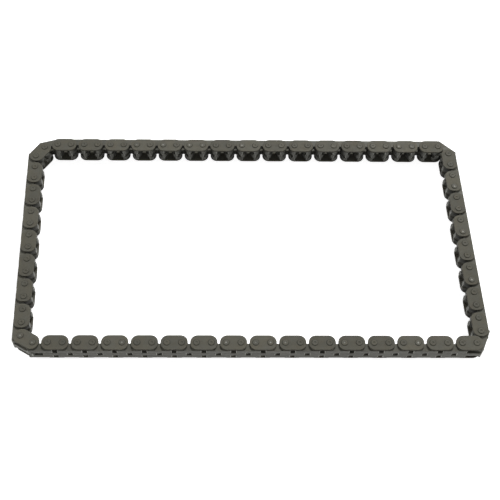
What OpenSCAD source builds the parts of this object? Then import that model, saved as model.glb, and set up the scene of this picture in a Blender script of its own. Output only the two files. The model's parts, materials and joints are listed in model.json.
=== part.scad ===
// Inverted-tooth (silent) chain, closed to an endless loop and lying flat on its side.
// Guide links and inner links follow each other in turn. Teeth point into the loop, flat backs point out.
// +X runs along the front run, +Y to the back run, +Z out of the plane of the loop.
// The origin is under the middle of the loop, on the surface that the pin heads rest on.
// Inside a link, x runs from its first pin to its second and +y points into the loop.

/* [Chain] */
// Distance between the axes of two neighbouring pins
pitch = 6.35; // [6.2:0.01:7]
// Thickness of a guide plate
guide_t = 0.75; // [0.6:0.05:1.2]
// Thickness of a toothed plate
tooth_t = 2.2; // [1.5:0.05:2.5]
// Free space between two layers of plates
layer_gap = 0.05; // [0.03:0.01:0.15]

/* [Guide plate] */
// Distance from the axis of a pin to the end of the guide plate
guide_end = 2.65; // [2.4:0.05:2.7]
// Width of a guide plate, from its outer edge to its inner edge
guide_w = 6.9; // [6.4:0.05:7]
// Radius of the corners of a guide plate
guide_corner_r = 3.15; // [2.6:0.05:3.15]

/* [Toothed plate] */
// Distance from the axis of a pin to the end of the toothed plate
tooth_end = 2.15; // [2.05:0.05:2.4]
// Distance from the pin line out to the flat back
back_offset = 3.7; // [2.8:0.05:3.8]
// Radius of the corners of the back
back_corner_r = 0.4; // [0.2:0.05:1]
// Distance from the pin line in to the tips of the teeth
tooth_reach = 3.3; // [2.8:0.05:3.4]
// Angle between an outer flank and the direction in which the tooth points
flank_angle = 30; // [25:1:32]
// Distance from the pin line in to the point where the outer flank starts
flank_start = 0.2; // [0.1:0.05:0.6]
// Radius of the round where the outer flank starts
shoulder_r = 1.6; // [0.5:0.05:2]
// Radius of the round at the tip of a tooth
tip_r = 0.35; // [0.2:0.01:0.45]
// Width of a tooth between its two tip corners
tip_w = 1.5; // [1.3:0.05:1.8]
// Radius of the round at the bottom of the crotch between the two teeth
crotch_r = 0.75; // [0.4:0.05:0.85]
// Distance from the pin line in to the bottom of the crotch
crotch_depth = -0.2; // [-0.3:0.05:0.4]

/* [Pin] */
// Diameter of a pin
pin_d = 2.1; // [1.6:0.05:2.3]
// Diameter of the riveted head of a pin
head_d = 2.9; // [2.7:0.05:3.2]
// Height of the riveted head above the guide plate
head_h = 0.25; // [0.2:0.05:0.5]
// Height of the upright rim of the riveted head
head_rim_h = 0.08; // [0.05:0.01:0.15]
// Width of the slope from the rim to the flat end of the pin
head_slope_w = 0.5; // [0.2:0.05:0.6]
// Radius of the punched dimple in the end of a pin
dimple_r = 0.55; // [0.3:0.05:0.7]
// Depth of the punched dimple in the end of a pin
dimple_depth = 0.15; // [0.05:0.01:0.2]
// Free space round a pin in a toothed plate, at the radius
running_clearance = 0.04; // [0.02:0.01:0.08]
// Free space round a pin in a guide plate, at the radius
press_clearance = 0.01; // [0.005:0.005:0.02]

/* [Loop] */
// Links in each of the four outer sections of the front run and of the back run
long_section_links = 6; // [4:1:8]
// Links in the middle section of the front run
front_middle_links = 6; // [4:2:8]
// Links in each of the three sections of the right run and of the left run
side_section_links = 5; // [3:2:7]
// Angle from the front run to the side runs
side_run_angle = 92; // [89:0.5:94]
// Angle from the link in the front left corner to the front run
front_left_angle = 30; // [24:1:34]
// Angle from the back run to the first link of the back left corner
back_left_angle = 16; // [12:1:22]
// Angle from the back run to the second link of the back left corner
back_left_second_angle = 55; // [50:1:60]

/* [Hidden] */
front_run_angle = 0;
right_angle = 90;
back_run_angle = 2 * right_angle;
// The left corners hold one link more than the right ones, so the back run has one link less than the front run
back_shortfall_links = 1;
back_middle_links = front_middle_links - back_shortfall_links;
// Sections that a run is made of
long_section_count = 5;
side_section_count = 3;
middle_section = (long_section_count + 1) / 2;

// Heights of the layers, from the surface that the lower pin heads rest on
guide_low_z = head_h;
tooth_low_z = guide_low_z + guide_t + layer_gap;
tooth_mid_z = tooth_low_z + tooth_t + layer_gap;
tooth_high_z = tooth_mid_z + tooth_t + layer_gap;
guide_high_z = tooth_high_z + tooth_t + layer_gap;
pin_len = guide_high_z + guide_t + head_h;

pin_r = pin_d / 2;
head_r = head_d / 2;
guide_len = pitch + 2 * guide_end;
tooth_len = pitch + 2 * tooth_end;
guide_bore_r = pin_r + press_clearance;
tooth_bore_r = pin_r + running_clearance;

facets = 48;

function unit(angle) = [cos(angle), sin(angle)];
function reversed(list) = [for (i = [len(list) - 1:-1:0]) list[i]];

// Directions of the links of the two right corners close the loop: they are the two equal sides of a
// triangle whose base is the gap that all other links leave.
front_left_dir = -front_left_angle;
back_left_dir = back_run_angle + back_left_angle;
back_left_second_dir = back_run_angle + back_left_second_angle;
closing_gap = -(back_shortfall_links * unit(front_run_angle) + unit(front_left_dir)
    + unit(back_left_dir) + unit(back_left_second_dir));
closing_dir = atan2(closing_gap.y, closing_gap.x);
closing_half_bend = acos(norm(closing_gap) / 2);
front_right_dir = closing_dir - closing_half_bend;
back_right_dir = closing_dir + closing_half_bend;

// Directions of the links of a section that is straight
function straight(angle, links) = [for (i = [1:links]) angle];

// Straight sections of a run; the middle one of a long run has its own number of links
function long_run(name, angle, middle_links) = [
    for (i = [1:long_section_count])
        [str(name, i), straight(angle, i == middle_section ? middle_links : long_section_links)]
];
function side_run(name, angle) =
    [for (i = [1:side_section_count]) [str(name, i), straight(angle, side_section_links)]];

// Sections of the loop, anticlockwise from above: name, directions of its links
SECTIONS = concat(
    [["front_left_corner", [front_left_dir]]],
    long_run("front_run_", front_run_angle, front_middle_links),
    [["front_right_corner", [front_right_dir]]],
    side_run("right_run_", side_run_angle),
    [["back_right_corner", [back_right_dir]]],
    long_run("back_run_", back_run_angle, back_middle_links),
    [["back_left_corner", [back_left_dir, back_left_second_dir]]],
    side_run("left_run_", back_run_angle + side_run_angle)
);

link_dirs = [for (s = SECTIONS) each s[1]];
link_count = len(link_dirs);

// First link of each section
section_starts = [
    for (i = 0, first = 0; i < len(SECTIONS); first = first + len(SECTIONS[i][1]), i = i + 1) first
];

// Pin axes round the loop from the first pin of the front left corner; link k runs from pin k to pin k + 1
pin_path = [
    for (k = 0, at = [0, 0]; k < link_count; at = at + pitch * unit(link_dirs[k]), k = k + 1) at
];
function pin_at(k) = pin_path[k % link_count];
function link_middle(k) = (pin_at(k) + pin_at(k + 1)) / 2;

// Points of the plate corners' arcs that reach furthest, to centre the loop on the origin
function corner_reach(k, x, y) =
    link_middle(k) + x * unit(link_dirs[k]) + y * unit(link_dirs[k] + right_angle);
guide_arc_x = guide_len / 2 - guide_corner_r;
guide_arc_y = guide_w / 2 - guide_corner_r;
back_arc_x = tooth_len / 2 - back_corner_r;
back_arc_y = back_offset - back_corner_r;
guide_arcs = [
    for (k = [0:2:link_count - 1], x = [-1, 1], y = [-1, 1])
        corner_reach(k, x * guide_arc_x, y * guide_arc_y)
];
back_arcs = [
    for (k = [0:link_count - 1], x = [-1, 1]) corner_reach(k, x * back_arc_x, -back_arc_y)
];
function low(axis) = min(min([for (p = guide_arcs) p[axis]]) - guide_corner_r,
    min([for (p = back_arcs) p[axis]]) - back_corner_r);
function high(axis) = max(max([for (p = guide_arcs) p[axis]]) + guide_corner_r,
    max([for (p = back_arcs) p[axis]]) + back_corner_r);
loop_middle = [for (axis = [0, 1]) (low(axis) + high(axis)) / 2];

// Places children at the middle of link k, turned along it
module at_link(k, z) {
    at = link_middle(k) - loop_middle;
    translate([at.x, at.y, z]) rotate(link_dirs[k]) children();
}

module at_pin(k) {
    at = pin_at(k) - loop_middle;
    translate([at.x, at.y, 0]) children();
}

module two_bores(r) {
    for (side = [-1, 1])
        translate([side * pitch / 2, 0]) circle(r = r, $fn = facets);
}

module guide_outline() {
    square([guide_len, 2 * guide_arc_y], center = true);
    square([2 * guide_arc_x, guide_w], center = true);
    for (x = [-1, 1], y = [-1, 1])
        translate([x * guide_arc_x, y * guide_arc_y])
            circle(r = guide_corner_r, $fn = facets);
}

module guide_plate() {
    linear_extrude(guide_t) difference() {
        guide_outline();
        two_bores(guide_bore_r);
    }
}

// Centre of the round of radius r in the corner at p, between the edges to a and b
function round_centre(a, p, b, r) =
    let (u = (a - p) / norm(a - p), v = (b - p) / norm(b - p), m = (u + v) / norm(u + v))
    p + m * r / sqrt((1 - u * v) / 2);

// Point where that round meets the edge from p to a
function round_foot(a, p, b, r) =
    let (u = (a - p) / norm(a - p), c = round_centre(a, p, b, r)) p + u * ((c - p) * u);

// Half of the toothed plate: its sharp corners from the middle of the back to the inner corner of the tip
tooth_side_x = tooth_len / 2;
flank_run = (tooth_reach - flank_start) * tan(flank_angle);
tip_outer_x = tooth_side_x - flank_run;
tip_inner_x = tip_outer_x - tip_w;
// Inner flank: the tangent from the inner corner of the tip to the round of the crotch
crotch_centre = [0, crotch_depth + crotch_r];
inner_corner = [tip_inner_x, tooth_reach];
inner_span = inner_corner - crotch_centre;
crotch_foot = crotch_centre
    + crotch_r * unit(atan2(inner_span.y, inner_span.x) - acos(crotch_r / norm(inner_span)));
half_corners = [
    [0, -back_offset],
    [tooth_side_x, -back_offset],
    [tooth_side_x, flank_start],
    [tip_outer_x, tooth_reach],
    inner_corner,
    crotch_foot
];
// Radii of the corners between the first and the last of these points
corner_radii = [back_corner_r, shoulder_r, tip_r, tip_r];
rounded_corners = [1:len(corner_radii)];

function mirrored(p) = [-p.x, p.y];

module toothed_outline() {
    centres = [
        for (i = rounded_corners)
            round_centre(half_corners[i - 1], half_corners[i], half_corners[i + 1], corner_radii[i - 1])
    ];
    feet = [
        for (i = rounded_corners, other = [-1, 1])
            round_foot(half_corners[i + other], half_corners[i], half_corners[i - other], corner_radii[i - 1])
    ];
    right_half = concat(feet, [crotch_foot]);
    left_half = [for (p = reversed(right_half)) mirrored(p)];
    difference() {
        union() {
            polygon(concat(right_half, [crotch_centre], left_half));
            for (i = rounded_corners, side = [-1, 1])
                translate([side * centres[i - 1].x, centres[i - 1].y])
                    circle(r = corner_radii[i - 1], $fn = facets);
        }
        translate(crotch_centre) circle(r = crotch_r, $fn = facets);
    }
}

module toothed_plate() {
    linear_extrude(tooth_t) difference() {
        toothed_outline();
        two_bores(tooth_bore_r);
    }
}

// Pin with a riveted head at each end: upright rim, slope and a punched dimple
module pin() {
    lower_end = [
        [0, dimple_depth],
        [dimple_r, 0],
        [head_r - head_slope_w, 0],
        [head_r, head_h - head_rim_h],
        [head_r, head_h],
        [pin_r, head_h]
    ];
    upper_end = [for (p = reversed(lower_end)) [p.x, pin_len - p.y]];
    rotate_extrude($fn = facets) polygon(concat(lower_end, upper_end));
}

// Links of a section, and whether a link is a guide link; the two kinds follow each other in turn
function links_of(section) =
    [for (i = [0:len(SECTIONS[section][1]) - 1]) section_starts[section] + i];
function is_guide_link(k) = k % 2 == 0;
function guide_links_of(section) = [for (k = links_of(section)) if (is_guide_link(k)) k];
function inner_links_of(section) = [for (k = links_of(section)) if (!is_guide_link(k)) k];

module guide_plates(section) {
    color([0.37, 0.36, 0.32])
        for (k = guide_links_of(section), z = [guide_low_z, guide_high_z])
            at_link(k, z) guide_plate();
}

module toothed_plates(section) {
    color([0.30, 0.30, 0.28]) {
        for (k = guide_links_of(section)) at_link(k, tooth_mid_z) toothed_plate();
        for (k = inner_links_of(section), z = [tooth_low_z, tooth_high_z])
            at_link(k, z) toothed_plate();
    }
}

// Pins belong to the guide links, which hold them at both ends
module pins(section) {
    color([0.40, 0.39, 0.36])
        for (k = guide_links_of(section), end = [0, 1])
            at_pin(k + end) pin();
}

// A section that is one inner link has toothed plates alone
function kinds_of(section) = len(guide_links_of(section)) > 0
    ? ["guide_plates", "toothed_plates", "pins"]
    : ["toothed_plates"];
function node_name(section, kind) = str(SECTIONS[section][0], "_", kind);
all_sections = [0:len(SECTIONS) - 1];

for (i = all_sections) {
    guide_plates(i);
    toothed_plates(i);
    pins(i);
}
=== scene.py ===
import json
import math

import bmesh
import bpy
import numpy as np
from mathutils import Matrix, Vector


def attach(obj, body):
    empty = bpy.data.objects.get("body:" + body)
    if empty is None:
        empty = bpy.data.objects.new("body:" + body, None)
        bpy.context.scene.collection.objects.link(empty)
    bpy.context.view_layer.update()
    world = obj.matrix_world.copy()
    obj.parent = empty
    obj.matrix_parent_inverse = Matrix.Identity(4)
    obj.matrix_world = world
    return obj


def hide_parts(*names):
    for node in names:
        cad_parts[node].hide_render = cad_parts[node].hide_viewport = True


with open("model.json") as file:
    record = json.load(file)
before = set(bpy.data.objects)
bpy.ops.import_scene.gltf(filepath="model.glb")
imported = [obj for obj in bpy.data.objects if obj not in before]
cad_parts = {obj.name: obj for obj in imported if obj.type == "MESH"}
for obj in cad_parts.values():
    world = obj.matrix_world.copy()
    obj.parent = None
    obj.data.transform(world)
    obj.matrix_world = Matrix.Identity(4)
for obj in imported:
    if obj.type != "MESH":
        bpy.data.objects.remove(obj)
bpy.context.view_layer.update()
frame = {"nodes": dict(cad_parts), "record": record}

# Sizes of the chain, in metres, as in its solids
MM = 0.001
PITCH = 6.35 * MM
GUIDE_T = 0.75 * MM
GUIDE_END = 2.65 * MM
GUIDE_W = 6.9 * MM
GUIDE_CORNER_R = 3.15 * MM
TOOTH_T = 2.2 * MM
TOOTH_END = 2.15 * MM
BACK_OFFSET = 3.7 * MM
BACK_CORNER_R = 0.4 * MM
TOOTH_REACH = 3.3 * MM
FLANK_ANGLE = math.radians(30)
FLANK_START = 0.2 * MM
SHOULDER_R = 1.6 * MM
TIP_R = 0.35 * MM
TIP_W = 1.5 * MM
CROTCH_R = 0.75 * MM
CROTCH_DEPTH = -0.2 * MM
PIN_R = 1.05 * MM
HEAD_R = 1.45 * MM
HEAD_H = 0.25 * MM
HEAD_RIM_H = 0.08 * MM
HEAD_SLOPE_W = 0.5 * MM
DIMPLE_R = 0.55 * MM
DIMPLE_DEPTH = 0.15 * MM
LAYER_GAP = 0.05 * MM
RUNNING_CLEARANCE = 0.04 * MM
PRESS_CLEARANCE = 0.01 * MM

# Rolled edges that stamping leaves on the plates: how far in they start and how far down they reach
GUIDE_ROLL = (0.16 * MM, 0.16 * MM)
TOOTH_ROLL = (0.1 * MM, 0.1 * MM)
BORE_ROLL = (0.06 * MM, 0.06 * MM)
# Flat ring next to a rolled edge, and ring of painted shade on a guide plate round a pin head
FACE_RING_W = 0.12 * MM
SHADE_RING_W = 0.1 * MM
# The slope of a pin head bulges: its height falls with this power of the way to the rim
HEAD_BULGE = 3.2
# Fineness of the meshes
EDGE_STEPS = 3
ARC_STEP = math.radians(11)
BORE_POINTS = 20
PIN_POINTS = 24
HEAD_STEPS = 4
SHARP_ANGLE = math.radians(38)

# Heights of the layers
GUIDE_LOW_Z = HEAD_H
TOOTH_LOW_Z = GUIDE_LOW_Z + GUIDE_T + LAYER_GAP
TOOTH_MID_Z = TOOTH_LOW_Z + TOOTH_T + LAYER_GAP
TOOTH_HIGH_Z = TOOTH_MID_Z + TOOTH_T + LAYER_GAP
GUIDE_HIGH_Z = TOOTH_HIGH_Z + TOOTH_T + LAYER_GAP
CHAIN_H = GUIDE_HIGH_Z + GUIDE_T + HEAD_H


# Outlines of the stamped plates

def rounded(corners):
    """(x, y, painted shade, wear and painted glint) round a closed outline whose corners (x, y, radius,
    painted shade, wear and painted glint) get arcs.
    """
    points = []
    for i, (x, y, radius, recess, worn) in enumerate(corners):
        here = Vector((x, y))
        before = (Vector(corners[i - 1][:2]) - here).normalized()
        after = (Vector(corners[(i + 1) % len(corners)][:2]) - here).normalized()
        half = before.angle(after) / 2
        centre = here + (before + after).normalized() * (radius / math.sin(half))
        start = here + before * (radius / math.tan(half)) - centre
        turn = math.pi - 2 * half
        if before.x * after.y - before.y * after.x > 0:
            turn = -turn
        steps = max(2, math.ceil(abs(turn) / ARC_STEP))
        for k in range(steps + 1):
            angle = turn * k / steps
            cos, sin = math.cos(angle), math.sin(angle)
            at = (centre.x + cos * start.x - sin * start.y, centre.y + sin * start.x + cos * start.y)
            from_middle = abs(2 * k / steps - 1)
            points.append((*at, recess, worn * (1 - from_middle)))
    return points


def guide_outline():
    x, y, r = PITCH / 2 + GUIDE_END, GUIDE_W / 2, GUIDE_CORNER_R
    return rounded([(-x, -y, r, 0, 0), (x, -y, r, 0, 0), (x, y, r, 0, 0), (-x, y, r, 0, 0)])


def toothed_outline():
    side = PITCH / 2 + TOOTH_END
    outer = side - (TOOTH_REACH - FLANK_START) * math.tan(FLANK_ANGLE)
    inner = outer - TIP_W
    # the inner flanks are tangents to the round of the crotch, and meet under it
    rise = TOOTH_REACH - CROTCH_DEPTH - CROTCH_R
    to_round = math.hypot(inner, rise)
    slope = math.atan2(rise, inner) + math.asin(CROTCH_R / to_round)
    apex = TOOTH_REACH - inner * math.tan(slope)
    # the crotch, the shoulder and the inner tip get painted shade; the back corner and the outer tip get
    # worn steel with a painted glint
    right = [
        (side, -BACK_OFFSET, BACK_CORNER_R, 0, 1),
        (side, FLANK_START, SHOULDER_R, 0.3, 0),
        (outer, TOOTH_REACH, TIP_R, 0, 0.7),
        (inner, TOOTH_REACH, TIP_R, 0.2, 0),
    ]
    left = [(-x, *rest) for x, *rest in reversed(right)]
    return rounded(right + [(0, apex, CROTCH_R, 1, 0)] + left)


# Meshes of the three kinds of piece

def inward_normals(points):
    """Unit normals of a closed anticlockwise loop, pointing to its left."""
    p = np.array(points)[:, :2]
    along = np.roll(p, -1, axis=0) - np.roll(p, 1, axis=0)
    along /= np.linalg.norm(along, axis=1)[:, None]
    return np.column_stack([-along[:, 1], along[:, 0]])


def edge_levels(thickness, roll, shade_ring_inset=0):
    """(height, inset, edge, share of painted shade) up a plate's wall: flat rim, rolled edge, wall, rolled
    edge, flat rim.
    """
    width, depth = roll
    if shade_ring_inset:
        # a ring of painted shade round a pin head, fading outwards
        lower = [(0.0, shade_ring_inset + SHADE_RING_W, 0.0, 0.0), (0.0, shade_ring_inset, 0.0, 1.0)]
    else:
        lower = [(0.0, width + FACE_RING_W, 0.0, 0.0)]
    for k in range(EDGE_STEPS + 1):
        angle = math.pi / 2 * k / EDGE_STEPS
        edge = k / EDGE_STEPS
        lower.append((depth * (1 - math.cos(angle)), width * (1 - math.sin(angle)), edge, edge))
    upper = [(thickness - level[0], *level[1:]) for level in reversed(lower)]
    return lower + upper


def plate_mesh(name, outline, bore_r, thickness, roll, shade_ring_inset=0):
    """A stamped plate with two bores: its outer wall and each bore are rings joined level by level.

    The ring of painted shade round a pin head starts the last argument's length outside the bore, and
    there is none if that is 0.
    """
    bm = bmesh.new()
    edge_layer = bm.verts.layers.float.new("edge")
    painted_shade_layer = bm.verts.layers.float.new("recess")
    wear_and_glint_layer = bm.verts.layers.float.new("worn")
    loops = [(outline, inward_normals(outline), edge_levels(thickness, roll))]
    for side in (-1, 1):
        angles = [2 * math.pi * k / BORE_POINTS for k in range(BORE_POINTS)]
        circle = [(side * PITCH / 2 + bore_r * math.cos(a), bore_r * math.sin(a), 1, 0) for a in angles]
        loops.append((circle, -inward_normals(circle), edge_levels(thickness, BORE_ROLL, shade_ring_inset)))
    low_rims, high_rims = [], []
    for points, normals, levels in loops:
        rings = []
        for z, inset, edge, shade_share in levels:
            ring = []
            for (x, y, recess, worn), normal in zip(points, normals):
                vert = bm.verts.new((x + inset * normal[0], y + inset * normal[1], z))
                vert[edge_layer] = edge
                # painted shade on the walls, in the bores and round the pin heads; worn steel with a
                # painted glint on the rolled edges
                vert[painted_shade_layer] = shade_share * recess
                vert[wear_and_glint_layer] = edge * worn
                ring.append(vert)
            rings.append(ring)
        for ring, above in zip(rings, rings[1:]):
            for k in range(len(ring)):
                after = (k + 1) % len(ring)
                bm.faces.new((ring[k], ring[after], above[after], above[k]))
        low_rims += rim_edges(bm, rings[0])
        high_rims += rim_edges(bm, rings[-1])
    for rims in (low_rims, high_rims):
        bmesh.ops.triangle_fill(bm, edges=rims, use_beauty=True, use_dissolve=False)
    return finished_mesh(bm, name)


def rim_edges(bm, ring):
    """Edges between the neighbours of a ring."""
    return [bm.edges.get((ring[k - 1], ring[k])) for k in range(len(ring))]


def eased(t):
    """Goes from 0 to 1 with level ends."""
    return (1 - math.cos(math.pi * t)) / 2


def head_profile():
    """(radius, height, edge, wear and glint) of the lower pin head, from its punched dimple out to its
    rim; its edge share is painted shade in the dimple, on the slope and on the rim, and the dimple holds
    worn steel with a painted glint.
    """
    steps = [k / HEAD_STEPS for k in range(HEAD_STEPS + 1)]
    slope_h = HEAD_H - HEAD_RIM_H
    slope_r = HEAD_R - HEAD_SLOPE_W
    dimple = [(DIMPLE_R * t, DIMPLE_DEPTH * (1 - eased(t)), 0.3, 1 - t) for t in steps]
    slope = [(slope_r + HEAD_SLOPE_W * t, slope_h * t ** HEAD_BULGE, t ** 1.5, 0) for t in steps]
    return dimple + slope + [(HEAD_R, HEAD_H, 1.0, 0), (PIN_R, HEAD_H, 1.0, 0)]


def pin_mesh(name):
    """A pin with a riveted head at each end."""
    head = head_profile()
    profile = head + [(r, CHAIN_H - z, *marks) for r, z, *marks in reversed(head)]
    bm = bmesh.new()
    edge_layer = bm.verts.layers.float.new("edge")
    wear_and_glint_layer = bm.verts.layers.float.new("worn")
    rings = []
    for r, z, edge, worn in profile:
        count = 1 if r == 0 else PIN_POINTS
        angles = [2 * math.pi * k / count for k in range(count)]
        ring = [bm.verts.new((r * math.cos(a), r * math.sin(a), z)) for a in angles]
        for vert in ring:
            vert[edge_layer] = edge
            vert[wear_and_glint_layer] = worn
        rings.append(ring)
    for ring, above in zip(rings, rings[1:]):
        for k in range(PIN_POINTS):
            after = (k + 1) % PIN_POINTS
            low_side = [ring[k % len(ring)], ring[after % len(ring)]]
            high_side = [above[after % len(above)], above[k % len(above)]]
            # at the middle of a head the two corners of a side are one
            bm.faces.new(list(dict.fromkeys(low_side + high_side)))
    return finished_mesh(bm, name)


def finished_mesh(bm, name):
    bmesh.ops.recalc_face_normals(bm, faces=bm.faces)
    if bm.calc_volume(signed=True) < 0:
        bmesh.ops.reverse_faces(bm, faces=bm.faces)
    mesh = bpy.data.meshes.new(name)
    bm.to_mesh(mesh)
    bm.free()
    mesh.shade_smooth()
    mesh.set_sharp_from_angle(angle=SHARP_ANGLE)
    return mesh


# Where the links are, read from the solids

def points_of(node):
    mesh = frame["nodes"][node].data
    flat = np.zeros(3 * len(mesh.vertices))
    mesh.vertices.foreach_get("co", flat)
    return flat.reshape(-1, 3)


def pins_of(node):
    """Axes of the pins in a node: its points fall in groups no wider than a head."""
    left = points_of(node)
    axes = []
    while len(left):
        near = np.linalg.norm(left[:, :2] - left[0, :2], axis=1) < PITCH / 2
        group = left[near][:, :2]
        axes.append((group.min(0) + group.max(0)) / 2)
        left = left[~near]
    return axes


bodies = frame["record"]["behaviour"]["bodies"]
pins = []
for body in bodies:
    for node in bodies[body]:
        if node.endswith("_pins"):
            pins += [(tuple(axis), body) for axis in pins_of(node)]
pins.sort(key=lambda pin: math.atan2(pin[0][1], pin[0][0]))
# a guide link holds both its pins, so the pins are counted in pairs of one body
if any(pins[i][1] != pins[i + 1][1] for i in range(0, len(pins), 2)):
    pins = pins[1:] + pins[:1]

low_layer = {}
for body in bodies:
    points = points_of(body + "_toothed_plates")
    low_points = points[points[:, 2] < TOOTH_LOW_Z + TOOTH_T / 2]
    if len(low_points):
        low_layer[body] = low_points


class Link:
    """One link: its middle, its direction, and whether it is a guide link."""

    def __init__(self, k):
        first, second = Vector(pins[k][0]), Vector(pins[(k + 1) % len(pins)][0])
        self.middle = (first + second) / 2
        self.turn = math.atan2(second.y - first.y, second.x - first.x)
        self.guide = k % 2 == 0
        self.body = pins[k][1] if self.guide else inner_link_body(self.middle)


def inner_link_body(middle):
    """The body whose lowest toothed layer has a plate round this point."""
    for body, points in low_layer.items():
        if np.min(np.linalg.norm(points[:, :2] - np.array(middle), axis=1)) < PITCH / 4:
            return body
    raise ValueError("no body holds the inner link at " + str(tuple(middle)))


links = [Link(k) for k in range(len(pins))]


def guide_plate_places(body):
    mine = [link for link in links if link.guide and link.body == body]
    return [(link, z) for link in mine for z in (GUIDE_LOW_Z, GUIDE_HIGH_Z)]


def toothed_plate_places(body):
    mine = [link for link in links if link.body == body]
    places = []
    for link in mine:
        heights = (TOOTH_MID_Z,) if link.guide else (TOOTH_LOW_Z, TOOTH_HIGH_Z)
        places += [(link, z) for z in heights]
    return places


# Geometry Nodes that lay one kind of piece at its places

def laying_tree():
    """Instances of a piece on points, turned along the chain, each with a tone of its own."""
    tree = bpy.data.node_groups.new("lay_pieces", "GeometryNodeTree")
    face = tree.interface
    face.new_socket("Places", in_out="INPUT", socket_type="NodeSocketGeometry")
    sockets = {
        "Piece": "NodeSocketObject",
        "Steel": "NodeSocketMaterial",
        "Tone Spread": "NodeSocketFloat",
        "Seed": "NodeSocketInt",
    }
    names = {}
    for name, kind in sockets.items():
        names[name] = face.new_socket(name, in_out="INPUT", socket_type=kind).identifier
    face.new_socket("Pieces", in_out="OUTPUT", socket_type="NodeSocketGeometry")
    made = {}

    def add(label, kind, **settings):
        made[label] = tree.nodes.new(kind)
        for key, value in settings.items():
            setattr(made[label], key, value)
        return made[label]

    group_in, group_out = add("in", "NodeGroupInput"), add("out", "NodeGroupOutput")
    turn = add("turn", "GeometryNodeInputNamedAttribute", data_type="FLOAT")
    turn.inputs["Name"].default_value = "turn"
    euler = add("euler", "ShaderNodeCombineXYZ")
    rotation = add("rotation", "FunctionNodeEulerToRotation")
    piece = add("piece", "GeometryNodeObjectInfo", transform_space="ORIGINAL")
    piece.inputs["As Instance"].default_value = True
    points = add("points", "GeometryNodeMeshToPoints", mode="VERTICES")
    lay = add("lay", "GeometryNodeInstanceOnPoints")
    random = add("random", "FunctionNodeRandomValue", data_type="FLOAT")
    negative = add("negative", "ShaderNodeMath", operation="MULTIPLY")
    negative.inputs[1].default_value = -1
    tone = add("tone", "GeometryNodeStoreNamedAttribute", data_type="FLOAT", domain="INSTANCE")
    tone.inputs["Name"].default_value = "tone"
    realize = add("realize", "GeometryNodeRealizeInstances")
    paint = add("paint", "GeometryNodeSetMaterial")
    wires = [
        (group_in.outputs["Places"], points.inputs["Mesh"]),
        (points.outputs[0], lay.inputs["Points"]),
        (group_in.outputs["Piece"], piece.inputs["Object"]),
        (piece.outputs["Geometry"], lay.inputs["Instance"]),
        (turn.outputs["Attribute"], euler.inputs["Z"]),
        (euler.outputs[0], rotation.inputs[0]),
        (rotation.outputs[0], lay.inputs["Rotation"]),
        (lay.outputs[0], tone.inputs["Geometry"]),
        (group_in.outputs["Tone Spread"], negative.inputs[0]),
        (negative.outputs[0], random.inputs[2]),
        (group_in.outputs["Tone Spread"], random.inputs[3]),
        (group_in.outputs["Seed"], random.inputs["Seed"]),
        (random.outputs[1], tone.inputs["Value"]),
        (tone.outputs[0], realize.inputs[0]),
        (realize.outputs[0], paint.inputs["Geometry"]),
        (group_in.outputs["Steel"], paint.inputs["Material"]),
        (paint.outputs[0], group_out.inputs["Pieces"]),
    ]
    for start, end in wires:
        tree.links.new(start, end)
    return tree, names


def laid(node, places, master, steel, spread, seed, tree, names):
    """One object that holds a copy of the master piece at each place (x, y, z, turn) of a CAD node."""
    mesh = bpy.data.meshes.new(node + "_places")
    mesh.from_pydata([place[:3] for place in places], [], [])
    turns = mesh.attributes.new("turn", "FLOAT", "POINT")
    turns.data.foreach_set("value", [place[3] for place in places])
    host = bpy.data.objects.new(node + "_host", mesh)
    bpy.context.scene.collection.objects.link(host)
    layer = host.modifiers.new("lay", "NODES")
    layer.node_group = tree
    layer[names["Piece"]] = master
    layer[names["Steel"]] = steel
    layer[names["Tone Spread"]] = spread
    layer[names["Seed"]] = seed
    depsgraph = bpy.context.evaluated_depsgraph_get()
    result = bpy.data.meshes.new_from_object(host.evaluated_get(depsgraph), depsgraph=depsgraph)
    result.name = node + "_finished"
    bpy.data.objects.remove(host)
    piece = bpy.data.objects.new(node + "_finished", result)
    bpy.context.scene.collection.objects.link(piece)
    return piece


# Finishes

class Shader:
    """Short calls for building one material's nodes."""

    def __init__(self, name):
        self.material = bpy.data.materials.new(name)
        self.material.use_nodes = True
        self.tree = self.material.node_tree
        self.tree.nodes.clear()
        self.output = self.add("ShaderNodeOutputMaterial")
        self.coordinates = self.add("ShaderNodeTexCoord").outputs["Object"]

    def add(self, kind, values=None, **settings):
        node = self.tree.nodes.new(kind)
        for key, value in settings.items():
            setattr(node, key, value)
        for key, value in (values or {}).items():
            self.put(node.inputs[key], value)
        return node

    def put(self, socket, value):
        if isinstance(value, bpy.types.NodeSocket):
            self.tree.links.new(value, socket)
        else:
            socket.default_value = value

    def noise(self, size, detail=4.0, roughness=0.55):
        """Noise whose features are about this size, in metres."""
        values = {"Vector": self.coordinates, "Scale": 1 / size, "Detail": detail, "Roughness": roughness}
        return self.add("ShaderNodeTexNoise", values).outputs[0]

    def ramp(self, value, low, high, out_low=0.0, out_high=1.0):
        values = {"Value": value, "From Min": low, "From Max": high, "To Min": out_low, "To Max": out_high}
        return self.add("ShaderNodeMapRange", values).outputs[0]

    def math(self, operation, a, b):
        return self.add("ShaderNodeMath", {0: a, 1: b}, operation=operation).outputs[0]

    def mix(self, share, a, b):
        node = self.add("ShaderNodeMix", data_type="RGBA")
        self.put(node.inputs["Factor"], share)
        self.put(node.inputs[6], a)
        self.put(node.inputs[7], b)
        return node.outputs[2]

    def attribute(self, name):
        return self.add("ShaderNodeAttribute", attribute_name=name).outputs["Fac"]


# Sizes of the marks in the black oxide
BLOTCH = 5 * MM
STAIN = 1.8 * MM
GLOSS_PATCH = 1.1 * MM
RUBBED_PATCH = 0.7 * MM
RIPPLE = 0.5 * MM
GRAIN = 0.16 * MM
BUMP_DEPTH = 0.03 * MM
BUMP_STRENGTH = 0.35
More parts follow.
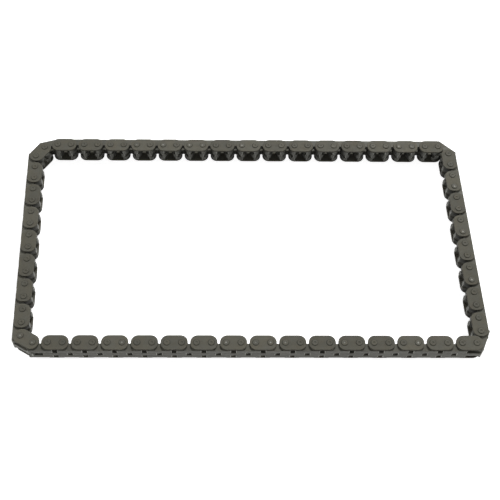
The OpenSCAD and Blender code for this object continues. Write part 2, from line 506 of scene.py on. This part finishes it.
# Spread of the gloss over a piece, and of the tone from piece to piece
GLOSS_SPREAD = 0.09
TONE_SPREAD = 0.10
# Tones of the pieces with worn spots that are partly a painted glint: above this one the pins, and all
# plates
WEAR_GLINT_PIN_TONE = 0.05
WEAR_GLINT_PLATE_TONE = -1
WEAR_GLINT_BLEND = 0.04
# The oxide is dull: hardly metallic, with a weak reflection
OXIDE_METALLIC = 0.1
OXIDE_SPECULAR = 0.08


def oxide_steel(name, main, second, edge_colour, roughness, wear_and_glint_tone):
    """Black-oxide steel, lightly oiled: blotches of tint, brown stains, fine grain, tinted edges that are
    partly painted shade, painted shade in recesses, and worn spots that are partly a painted glint.
    """
    s = Shader(name)
    blotch = s.ramp(s.noise(BLOTCH, 3), 0.35, 0.65)
    stain = s.ramp(s.noise(STAIN, 5, 0.65), 0.52, 0.72, 0.0, 0.6)
    colour = s.mix(blotch, main, second)
    colour = s.mix(stain, colour, BROWN)
    rubbed = s.ramp(s.noise(RUBBED_PATCH, 4, 0.7), 0.35, 0.65, 0.6, 1.0)
    # edge tint: on guide plates dark sheared edges with painted shade, on pins painted shade of the head's
    # rim and slope
    edge = s.math("MULTIPLY", s.attribute("edge"), rubbed)
    colour = s.mix(edge, colour, edge_colour)
    # painted shade in the crotches, on the inner walls and round the pin heads
    colour = s.mix(s.attribute("recess"), colour, PAINTED_SHADE_COLOUR)
    # bright worn steel, partly a painted glint, on worn corners, tips and pin dimples
    wear_and_glint_piece = s.ramp(s.attribute("tone"), wear_and_glint_tone, wear_and_glint_tone + WEAR_GLINT_BLEND)
    worn = s.math("MULTIPLY", s.attribute("worn"), s.math("MULTIPLY", rubbed, wear_and_glint_piece))
    colour = s.mix(worn, colour, WORN_STEEL_AND_GLINT)
    grain = s.noise(GRAIN, 3, 0.6)
    light = s.math("ADD", s.ramp(grain, 0.3, 0.7, 0.88, 1.12), s.attribute("tone"))
    colour = s.add("ShaderNodeHueSaturation", {"Color": colour, "Value": light}).outputs[0]
    gloss = s.noise(GLOSS_PATCH, 4, 0.6)
    rough = s.ramp(gloss, 0.3, 0.7, roughness - GLOSS_SPREAD, roughness + GLOSS_SPREAD)
    height = s.math("ADD", s.math("MULTIPLY", grain, 0.6), s.noise(RIPPLE, 4))
    bump = s.add("ShaderNodeBump", {"Height": height, "Strength": BUMP_STRENGTH, "Distance": BUMP_DEPTH})
    steel = s.add("ShaderNodeBsdfPrincipled", {
        "Base Color": colour,
        "Metallic": OXIDE_METALLIC,
        "Roughness": rough,
        "Specular IOR Level": OXIDE_SPECULAR,
        "Normal": bump.outputs[0],
    })
    s.put(s.output.inputs[0], steel.outputs[0])
    return s.material


OLIVE = (0.109, 0.103, 0.080, 1)
NEUTRAL = (0.103, 0.101, 0.084, 1)
BROWN = (0.100, 0.087, 0.067, 1)
# dark sheared edges of the guide plates, partly painted shade of the rolled edge and the gap under it
DARK_EDGE_AND_SHADE = (0.032, 0.030, 0.024, 1)
# the toothed plates' steel is a lighter copy of the guide plates' steel: painted light that lifts their
# faces where the guide plates shade them
PALE_OLIVE = (0.122, 0.118, 0.096, 1)
PALE_NEUTRAL = (0.116, 0.116, 0.100, 1)
LIGHT_EDGE = (0.110, 0.110, 0.100, 1)
# colour of the painted shade
PAINTED_SHADE_COLOUR = (0.012, 0.012, 0.010, 1)
# bright worn steel, partly a painted glint
WORN_STEEL_AND_GLINT = (0.500, 0.500, 0.460, 1)
finishes = {
    "guide_plate_steel": oxide_steel(
        "guide_plate_oxide", OLIVE, NEUTRAL, DARK_EDGE_AND_SHADE, 0.6, WEAR_GLINT_PLATE_TONE),
    "toothed_plate_steel": oxide_steel(
        "toothed_plate_oxide", PALE_NEUTRAL, PALE_OLIVE, LIGHT_EDGE, 0.5, WEAR_GLINT_PLATE_TONE),
    # the pins' edge colour is painted shade on the heads' rims and slopes
    "pin_steel": oxide_steel("pin_oxide", NEUTRAL, OLIVE, PAINTED_SHADE_COLOUR, 0.5, WEAR_GLINT_PIN_TONE),
}


# The chain

def master_object(mesh):
    """The object that the trees take copies of one kind of piece from."""
    master = bpy.data.objects.new(mesh.name, mesh)
    bpy.context.scene.collection.objects.link(master)
    return master


guide_bore_r = PIN_R + PRESS_CLEARANCE
toothed_bore_r = PIN_R + RUNNING_CLEARANCE
# the guide plates get a ring of painted shade round each pin head
guide_master = master_object(
    plate_mesh("guide_plate", guide_outline(), guide_bore_r, GUIDE_T, GUIDE_ROLL, HEAD_R - PIN_R))
toothed_master = master_object(
    plate_mesh("toothed_plate", toothed_outline(), toothed_bore_r, TOOTH_T, TOOTH_ROLL))
pin_master = master_object(pin_mesh("pin"))
tree, names = laying_tree()
for seed, body in enumerate(bodies):
    for node in bodies[body]:
        if node.endswith("_guide_plates"):
            places = [(*link.middle, z, link.turn) for link, z in guide_plate_places(body)]
            master, slot = guide_master, "guide_plate_steel"
        elif node.endswith("_toothed_plates"):
            places = [(*link.middle, z, link.turn) for link, z in toothed_plate_places(body)]
            master, slot = toothed_master, "toothed_plate_steel"
        else:
            places = [(*axis, 0.0, 0.0) for axis, owner in pins if owner == body]
            master, slot = pin_master, "pin_steel"
        piece = laid(node, places, master, finishes[slot], TONE_SPREAD, seed, tree, names)
        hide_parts(node)
        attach(piece, body)
for master in (guide_master, toothed_master, pin_master):
    bpy.data.objects.remove(master)


# Floor, light and camera

FLOOR_HALF = 3.0
FLOOR_GLOW = 0.88
FLOOR_PALE = (0.8, 0.8, 0.8, 1)
FLOOR_BOUNCE = (0.15, 0.15, 0.15, 1)
WORLD_STRENGTH = 0.06


def floor_material():
    """White where it is seen or mirrored, and a weak bounce of light elsewhere."""
    s = Shader("floor_white")
    path = s.add("ShaderNodeLightPath")
    seen = s.math("MAXIMUM", path.outputs["Is Camera Ray"], path.outputs["Is Glossy Ray"])
    seen = s.math("MAXIMUM", seen, path.outputs["Is Transmission Ray"])
    lit = s.add("ShaderNodeBsdfDiffuse", {"Color": s.mix(seen, FLOOR_BOUNCE, FLOOR_PALE)})
    strength = s.math("MULTIPLY", seen, FLOOR_GLOW)
    glow = s.add("ShaderNodeEmission", {"Color": (1, 1, 1, 1), "Strength": strength})
    both = s.add("ShaderNodeAddShader", {0: lit.outputs[0], 1: glow.outputs[0]})
    s.put(s.output.inputs[0], both.outputs[0])
    return s.material


def studio_floor():
    mesh = bpy.data.meshes.new("studio_floor")
    h = FLOOR_HALF
    mesh.from_pydata([(-h, -h, 0), (h, -h, 0), (h, h, 0), (-h, h, 0)], [], [(0, 1, 2, 3)])
    mesh.materials.append(floor_material())
    floor = bpy.data.objects.new("studio_floor", mesh)
    bpy.context.scene.collection.objects.link(floor)


def softbox(name, place, size, power):
    """An area light at a place, turned to the middle of the chain."""
    data = bpy.data.lights.new(name, "AREA")
    data.shape = "SQUARE"
    data.size = size
    data.energy = power
    light = bpy.data.objects.new(name, data)
    light.location = place
    light.rotation_euler = (-Vector(place)).to_track_quat("-Z", "Y").to_euler()
    bpy.context.scene.collection.objects.link(light)


def studio_world(strength):
    """A white backdrop that lights the chain at this strength."""
    world = bpy.data.worlds.new("studio")
    world.use_nodes = True
    nodes, wires = world.node_tree.nodes, world.node_tree.links
    background = nodes["Background"]
    path = nodes.new("ShaderNodeLightPath")
    level = nodes.new("ShaderNodeMapRange")
    level.inputs["To Min"].default_value = strength
    level.inputs["To Max"].default_value = 1
    seen = path.outputs["Is Camera Ray"]
    for ray in ("Is Glossy Ray", "Is Transmission Ray"):
        either = nodes.new("ShaderNodeMath")
        either.operation = "MAXIMUM"
        wires.new(seen, either.inputs[0])
        wires.new(path.outputs[ray], either.inputs[1])
        seen = either.outputs[0]
    wires.new(seen, level.inputs["Value"])
    wires.new(level.outputs[0], background.inputs["Strength"])
    background.inputs["Color"].default_value = (1, 1, 1, 1)
    bpy.context.scene.world = world


# Camera, fitted to the pin axes that the photograph shows
CAMERA_ELEVATION = math.radians(58.9)
CAMERA_AZIMUTH = math.radians(-2.5)
CAMERA_ROLL = math.radians(2.35)
CAMERA_TARGET = Vector((1.25, -1.36, 0.17)) * MM
CAMERA_DISTANCE = 448 * MM
PHOTO_W = 500
FOCAL_PIXELS = 968
SENSOR_W = 36


def studio_camera():
    cos_e, sin_e = math.cos(CAMERA_ELEVATION), math.sin(CAMERA_ELEVATION)
    cos_a, sin_a = math.cos(CAMERA_AZIMUTH), math.sin(CAMERA_AZIMUTH)
    back = Vector((sin_a * cos_e, -cos_a * cos_e, sin_e))
    level = Vector((cos_a, sin_a, 0))
    upright = back.cross(level)
    right = math.cos(CAMERA_ROLL) * level + math.sin(CAMERA_ROLL) * upright
    up = back.cross(right)
    data = bpy.data.cameras.new("camera")
    data.sensor_width = SENSOR_W
    data.lens = FOCAL_PIXELS / PHOTO_W * SENSOR_W
    camera = bpy.data.objects.new("camera", data)
    turned = Matrix((right, up, back)).transposed().to_4x4()
    camera.matrix_world = Matrix.Translation(CAMERA_TARGET + back * CAMERA_DISTANCE) @ turned
    bpy.context.scene.collection.objects.link(camera)
    bpy.context.scene.camera = camera


studio_floor()
studio_world(WORLD_STRENGTH)
softbox("key_light", (1.44, 5.9, 4.95), 0.5, 495)
softbox("top_light", (0.0, -0.6, 1.6), 0.9, 1)
softbox("fill_light", (0.1, -1.2, 0.06), 0.3, 12)
softbox("left_light", (-1.2, 0.2, 0.2), 0.4, 12)
softbox("right_light", (1.2, 0.2, 0.2), 0.4, 12)
studio_camera()
bpy.context.scene.view_settings.view_transform = "Standard"
